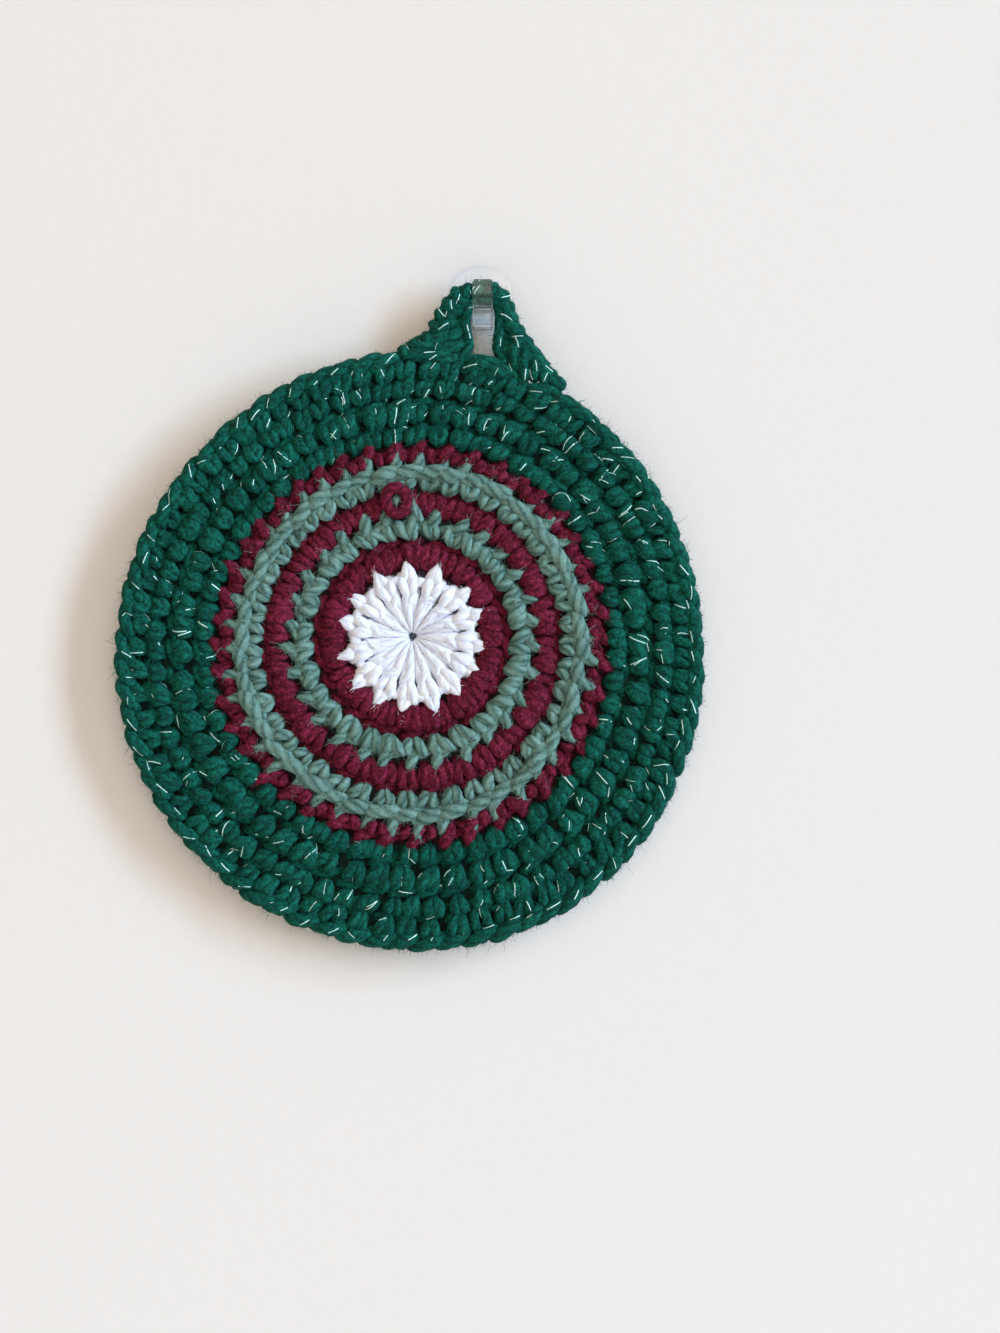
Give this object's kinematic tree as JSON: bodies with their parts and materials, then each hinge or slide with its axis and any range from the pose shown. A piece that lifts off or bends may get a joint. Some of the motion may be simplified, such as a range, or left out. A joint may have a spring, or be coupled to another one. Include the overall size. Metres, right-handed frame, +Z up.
{
  "type": "crocheted pot holder on a wall hook",
  "caption": "Round crocheted pot holder with a star middle, coloured rounds, a scalloped rim, a cloth lining and a hanging loop, on a clear plastic wall hook.",
  "frame": {"origin": "middle of the hook plate's back face, where it meets the wall", "axes": "+Y into the wall, +X to the right seen from the front, +Z up"},
  "size_m": [0.1785, 0.014, 0.2089],
  "materials": {
    "green_yarn": "dark green twisted yarn with a thin silver metal fleck",
    "burgundy_yarn": "plain twisted yarn, slightly fuzzy",
    "sage_yarn": "plain twisted yarn, slightly fuzzy",
    "white_yarn": "plain twisted yarn, soft and a little shiny",
    "lining_cloth": "plain-woven cross-dyed cotton, matt",
    "clear_plastic": "clear moulded plastic"
  },
  "bodies": {
    "root": {"crochet_face": "green_yarn", "hanging_loop": "green_yarn", "lining": "lining_cloth", "wall_hook": "clear_plastic"}
  },
  "joints": []
}
